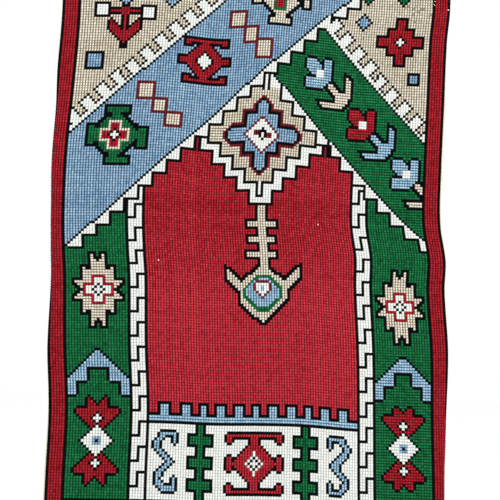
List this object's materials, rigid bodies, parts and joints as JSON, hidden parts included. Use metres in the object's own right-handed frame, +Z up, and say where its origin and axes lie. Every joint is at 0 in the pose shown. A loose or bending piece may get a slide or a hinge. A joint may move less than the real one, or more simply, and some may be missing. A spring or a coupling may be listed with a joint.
{
  "type": "hung wall rug, cross-stitched on canvas",
  "caption": "Flat wool wall rug worked in cross stitch, with a niche, stars and tulips in a red border, hung by its top edge.",
  "frame": {"origin": "middle of the top edge, on the back face, where the rug is hung", "axes": "+Z up along the rug's length, +X to the right as seen from the front, the worked face looks along -Y and the wall is the plane Y = 0"},
  "size_m": [0.7651, 0.019, 1.0725],
  "materials": {
    "wool": "matt wool cross stitch on cotton canvas, in red, green, light blue, beige, off-white and near-black"
  },
  "bodies": {
    "root": {"rug_cloth": "wool"}
  },
  "joints": []
}
